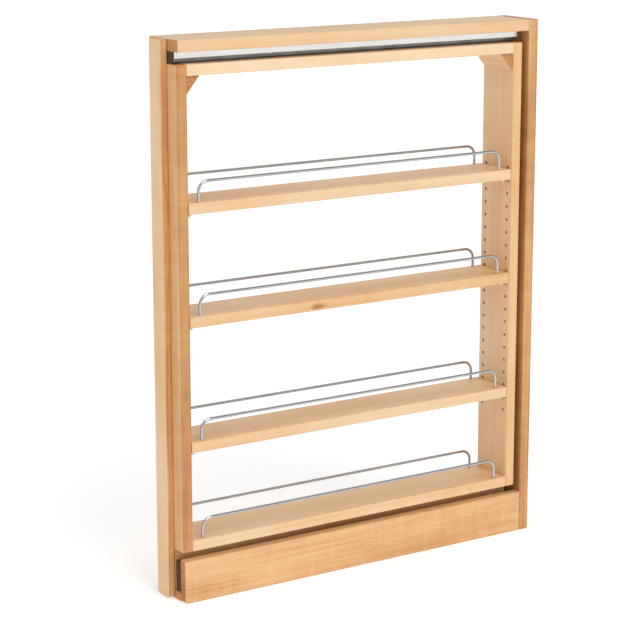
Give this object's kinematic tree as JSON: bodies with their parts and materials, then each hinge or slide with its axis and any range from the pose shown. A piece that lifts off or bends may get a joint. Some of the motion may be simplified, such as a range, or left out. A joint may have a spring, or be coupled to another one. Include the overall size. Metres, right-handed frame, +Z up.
{
  "type": "rolling pantry cart",
  "caption": "Tall narrow pantry organizer in clear maple: a wire-railed shelf unit rolls out of a fixed frame on full-extension ball slides.",
  "frame": {"origin": "middle of the bounding box at floor level", "axes": "+Z up; the front, where the owner's panel goes, faces -Y and the shelf unit rolls out along -Y; +X is the right-hand side seen from the front"},
  "size_m": [0.0762, 0.5936, 0.762],
  "materials": {
    "maple": "clear satin lacquer on pale maple",
    "rail_chrome": "bright chrome-plated wire",
    "slide_zinc": "clear zinc-plated sheet steel",
    "slide_dark": "dark passivated zinc plate under a thin film of grease",
    "cap_brown": "dark brown moulded plastic, fine matt texture",
    "cage_steel": "zinc-plated thin sheet steel",
    "ball_steel": "polished steel",
    "screw_steel": "zinc-plated steel",
    "pin_nickel": "nickel-plated steel"
  },
  "bodies": {
    "frame": {"top_board": "maple", "rear_board": "maple", "base_plate": "maple", "skirt_right": "maple", "skirt_left": "maple", "rear_screws": "screw_steel", "frame_slide_screws": "screw_steel", "slide_top_outer": "slide_zinc", "slide_right_outer": "slide_zinc", "slide_left_outer": "slide_zinc"},
    "shelf_unit": {"bottom_board": "maple", "bottom_rail_left": "rail_chrome", "bottom_rail_right": "rail_chrome", "corner_block_front": "maple", "corner_block_rear": "maple", "front_board": "maple", "mounting_strip": "maple", "runner": "maple", "shelf_lower_pins": "pin_nickel", "shelf_middle_pins": "pin_nickel", "shelf_upper_pins": "pin_nickel", "slide_left_cap": "cap_brown", "slide_left_inner": "slide_dark", "slide_right_cap": "cap_brown", "slide_right_inner": "slide_dark", "slide_top_cap": "cap_brown", "slide_top_inner": "slide_dark", "strip_screws": "screw_steel", "top_rail": "maple", "unit_front_screws": "screw_steel", "unit_rear_board": "maple", "unit_rear_screws": "screw_steel", "unit_slide_screws": "screw_steel"},
    "upper_shelf": {"shelf_upper": "maple", "shelf_upper_rail_right": "rail_chrome", "shelf_upper_rail_left": "rail_chrome"},
    "middle_shelf": {"shelf_middle": "maple", "shelf_middle_rail_right": "rail_chrome", "shelf_middle_rail_left": "rail_chrome"},
    "lower_shelf": {"shelf_lower": "maple", "shelf_lower_rail_right": "rail_chrome", "shelf_lower_rail_left": "rail_chrome"},
    "top_middle_member": {"slide_top_middle": "slide_dark"},
    "top_outer_ball_cage": {"slide_top_cage_outer": "cage_steel", "slide_top_balls_outer": "ball_steel"},
    "top_inner_ball_cage": {"slide_top_cage_inner": "cage_steel", "slide_top_balls_inner": "ball_steel"},
    "right_middle_member": {"slide_right_middle": "slide_dark"},
    "right_outer_ball_cage": {"slide_right_cage_outer": "cage_steel", "slide_right_balls_outer": "ball_steel"},
    "right_inner_ball_cage": {"slide_right_cage_inner": "cage_steel", "slide_right_balls_inner": "ball_steel"},
    "left_middle_member": {"slide_left_middle": "slide_dark"},
    "left_outer_ball_cage": {"slide_left_cage_outer": "cage_steel", "slide_left_balls_outer": "ball_steel"},
    "left_inner_ball_cage": {"slide_left_cage_inner": "cage_steel", "slide_left_balls_inner": "ball_steel"}
  },
  "joints": [
    {"name": "unit_roll", "type": "slide", "parent": "frame", "child": "shelf_unit", "axis": [0, -1, 0], "range_m": [0, 0.54]},
    {"name": "top_outer_cage_roll", "type": "slide", "parent": "frame", "child": "top_outer_ball_cage", "axis": [0, -1, 0], "range_m": [0, 0.135]},
    {"name": "top_middle_roll", "type": "slide", "parent": "frame", "child": "top_middle_member", "axis": [0, -1, 0], "range_m": [0, 0.27]},
    {"name": "top_inner_cage_roll", "type": "slide", "parent": "frame", "child": "top_inner_ball_cage", "axis": [0, -1, 0], "range_m": [0, 0.405]},
    {"name": "right_outer_cage_roll", "type": "slide", "parent": "frame", "child": "right_outer_ball_cage", "axis": [0, -1, 0], "range_m": [0, 0.135]},
    {"name": "right_middle_roll", "type": "slide", "parent": "frame", "child": "right_middle_member", "axis": [0, -1, 0], "range_m": [0, 0.27]},
    {"name": "right_inner_cage_roll", "type": "slide", "parent": "frame", "child": "right_inner_ball_cage", "axis": [0, -1, 0], "range_m": [0, 0.405]},
    {"name": "left_outer_cage_roll", "type": "slide", "parent": "frame", "child": "left_outer_ball_cage", "axis": [0, -1, 0], "range_m": [0, 0.135]},
    {"name": "left_middle_roll", "type": "slide", "parent": "frame", "child": "left_middle_member", "axis": [0, -1, 0], "range_m": [0, 0.27]},
    {"name": "left_inner_cage_roll", "type": "slide", "parent": "frame", "child": "left_inner_ball_cage", "axis": [0, -1, 0], "range_m": [0, 0.405]},
    {"name": "upper_shelf_lift", "type": "slide", "parent": "shelf_unit", "child": "upper_shelf", "axis": [0, 0, 1], "range_m": [0, 0.1]},
    {"name": "middle_shelf_lift", "type": "slide", "parent": "shelf_unit", "child": "middle_shelf", "axis": [0, 0, 1], "range_m": [0, 0.1]},
    {"name": "lower_shelf_lift", "type": "slide", "parent": "shelf_unit", "child": "lower_shelf", "axis": [0, 0, 1], "range_m": [0, 0.1]}
  ],
  "couplings": [
    {"joint": "top_outer_cage_roll", "follows": "unit_roll", "ratio": 0.25},
    {"joint": "top_middle_roll", "follows": "unit_roll", "ratio": 0.5},
    {"joint": "top_inner_cage_roll", "follows": "unit_roll", "ratio": 0.75},
    {"joint": "right_outer_cage_roll", "follows": "unit_roll", "ratio": 0.25},
    {"joint": "right_middle_roll", "follows": "unit_roll", "ratio": 0.5},
    {"joint": "right_inner_cage_roll", "follows": "unit_roll", "ratio": 0.75},
    {"joint": "left_outer_cage_roll", "follows": "unit_roll", "ratio": 0.25},
    {"joint": "left_middle_roll", "follows": "unit_roll", "ratio": 0.5},
    {"joint": "left_inner_cage_roll", "follows": "unit_roll", "ratio": 0.75}
  ]
}
